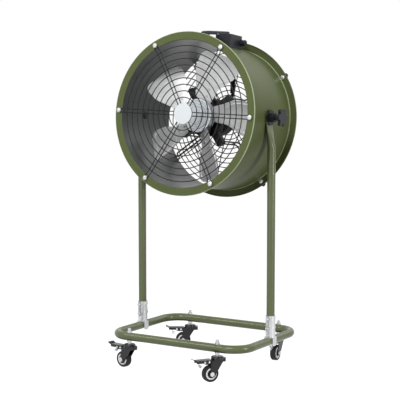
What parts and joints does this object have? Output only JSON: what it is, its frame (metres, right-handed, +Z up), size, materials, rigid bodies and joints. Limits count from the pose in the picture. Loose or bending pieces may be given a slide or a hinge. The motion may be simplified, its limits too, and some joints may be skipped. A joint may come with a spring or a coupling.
{
  "type": "axial drum fan on wheeled stand",
  "caption": "Axial drum fan with wire guards, paddle blades and a caged motor, tilting between the legs of a tubular stand on braked swivel casters.",
  "frame": {"origin": "on the floor under the middle of the stand", "axes": "+Z up, +X to the right seen from the front, the fan blows towards -Y"},
  "size_m": [0.5548, 0.4602, 1.0515],
  "materials": {
    "olive_paint": "satin",
    "zinc": "bright zinc",
    "black_steel": "satin",
    "black_casting": "matte",
    "white_plastic": "gloss",
    "aluminium_blade": "satin",
    "hub_casting": "cast",
    "bearing_steel": "ground",
    "core_steel": "laminated",
    "black_plastic": "matte",
    "lead_jacket": "matte",
    "caster_black": "satin",
    "tyre_black": "matte",
    "wheel_grey": "satin",
    "axle_zinc": "bright zinc"
  },
  "bodies": {
    "stand": {"base_frame": "olive_paint", "left_leg": "olive_paint", "right_leg": "olive_paint", "left_tee_clamp": "zinc", "right_tee_clamp": "zinc", "tee_screws": "zinc", "caster_stems": "zinc"},
    "drum": {"drum_casing": "olive_paint", "pivot_bolts": "black_steel", "front_guard": "black_steel", "guard_disc": "white_plastic", "guard_bolts": "zinc", "rear_guard": "black_steel", "motor_body": "black_casting", "motor_front_cover": "black_casting", "motor_rear_cover": "black_casting", "motor_bearings": "bearing_steel", "motor_stator": "core_steel", "motor_feet": "black_casting", "motor_rods": "black_steel", "switch_box": "black_plastic", "switch_lid": "black_plastic", "lid_screws": "zinc", "rocker_frame": "black_plastic", "cable_gland": "black_plastic", "carry_handle": "black_plastic", "motor_lead": "lead_jacket", "lead_sleeve": "lead_jacket"},
    "impeller": {"motor_shaft": "bearing_steel", "motor_rotor": "core_steel", "impeller_hub": "hub_casting", "blade_1": "aluminium_blade", "blade_2": "aluminium_blade", "blade_3": "aluminium_blade", "blade_4": "aluminium_blade", "blade_5": "aluminium_blade", "blade_rivets": "zinc"},
    "rocker": {"rocker_switch": "black_plastic"},
    "left_knob": {"left_tilt_knob": "black_plastic"},
    "right_knob": {"right_tilt_knob": "black_plastic"},
    "front_left_swivel": {"front_left_fork": "caster_black", "front_left_axle": "axle_zinc"},
    "front_left_wheel": {"front_left_tyre": "tyre_black", "front_left_wheel_hub": "wheel_grey"},
    "front_left_brake": {"front_left_brake_pedal": "caster_black"},
    "front_right_swivel": {"front_right_fork": "caster_black", "front_right_axle": "axle_zinc"},
    "front_right_wheel": {"front_right_tyre": "tyre_black", "front_right_wheel_hub": "wheel_grey"},
    "front_right_brake": {"front_right_brake_pedal": "caster_black"},
    "rear_left_swivel": {"rear_left_fork": "caster_black", "rear_left_axle": "axle_zinc"},
    "rear_left_wheel": {"rear_left_tyre": "tyre_black", "rear_left_wheel_hub": "wheel_grey"},
    "rear_left_brake": {"rear_left_brake_pedal": "caster_black"},
    "rear_right_swivel": {"rear_right_fork": "caster_black", "rear_right_axle": "axle_zinc"},
    "rear_right_wheel": {"rear_right_tyre": "tyre_black", "rear_right_wheel_hub": "wheel_grey"},
    "rear_right_brake": {"rear_right_brake_pedal": "caster_black"}
  },
  "joints": [
    {"name": "drum_tilt", "type": "hinge", "parent": "stand", "child": "drum", "pos_m": [0, 0, 0.7835], "axis": [-1, 0, 0], "range_deg": [-45, 34]},
    {"name": "impeller_spin", "type": "hinge", "parent": "drum", "child": "impeller", "pos_m": [0, 0, 0.7835], "axis": [0, 0.996, -0.0898], "continuous": true},
    {"name": "left_knob_turn", "type": "hinge", "parent": "drum", "child": "left_knob", "pos_m": [-0.25, 0, 0.7835], "axis": [-1, 0, 0], "continuous": true},
    {"name": "right_knob_turn", "type": "hinge", "parent": "drum", "child": "right_knob", "pos_m": [0.25, 0, 0.7835], "axis": [1, 0, 0], "continuous": true},
    {"name": "switch_rock", "type": "hinge", "parent": "drum", "child": "rocker", "pos_m": [0.04, 0.08079, 1.03376], "axis": [1, 0, 0], "range_deg": [-18, 0]},
    {"name": "front_left_swivel_turn", "type": "hinge", "parent": "stand", "child": "front_left_swivel", "pos_m": [-0.165, -0.179, 0.072], "axis": [0, 0, 1], "continuous": true},
    {"name": "front_left_wheel_roll", "type": "hinge", "parent": "front_left_swivel", "child": "front_left_wheel", "pos_m": [-0.18877, -0.17566, 0.025], "axis": [-0.1392, -0.9903, 0], "continuous": true},
    {"name": "front_left_brake_press", "type": "hinge", "parent": "front_left_swivel", "child": "front_left_brake", "pos_m": [-0.18183, -0.17663, 0.0603], "axis": [-0.1392, -0.9903, 0], "range_deg": [0, 15]},
    {"name": "front_right_swivel_turn", "type": "hinge", "parent": "stand", "child": "front_right_swivel", "pos_m": [0.155, -0.179, 0.072], "axis": [0, 0, 1], "continuous": true},
    {"name": "front_right_wheel_roll", "type": "hinge", "parent": "front_right_swivel", "child": "front_right_wheel", "pos_m": [0.14228, -0.19935, 0.025], "axis": [0.848, -0.5299, 0], "continuous": true},
    {"name": "front_right_brake_press", "type": "hinge", "parent": "front_right_swivel", "child": "front_right_brake", "pos_m": [0.14599, -0.19342, 0.0603], "axis": [0.848, -0.5299, 0], "range_deg": [0, 15]},
    {"name": "rear_left_swivel_turn", "type": "hinge", "parent": "stand", "child": "rear_left_swivel", "pos_m": [-0.167, 0.179, 0.072], "axis": [0, 0, 1], "continuous": true},
    {"name": "rear_left_wheel_roll", "type": "hinge", "parent": "rear_left_swivel", "child": "rear_left_wheel", "pos_m": [-0.18735, 0.16628, 0.025], "axis": [0.5299, -0.848, 0], "continuous": true},
    {"name": "rear_left_brake_press", "type": "hinge", "parent": "rear_left_swivel", "child": "rear_left_brake", "pos_m": [-0.18142, 0.16999, 0.0603], "axis": [0.5299, -0.848, 0], "range_deg": [0, 15]},
    {"name": "rear_right_swivel_turn", "type": "hinge", "parent": "stand", "child": "rear_right_swivel", "pos_m": [0.171, 0.179, 0.072], "axis": [0, 0, 1], "continuous": true},
    {"name": "rear_right_wheel_roll", "type": "hinge", "parent": "rear_right_swivel", "child": "rear_right_wheel", "pos_m": [0.17267, 0.15506, 0.025], "axis": [0.9976, 0.0698, 0], "continuous": true},
    {"name": "rear_right_brake_press", "type": "hinge", "parent": "rear_right_swivel", "child": "rear_right_brake", "pos_m": [0.17219, 0.16204, 0.0603], "axis": [0.9976, 0.0698, 0], "range_deg": [0, 15]}
  ]
}
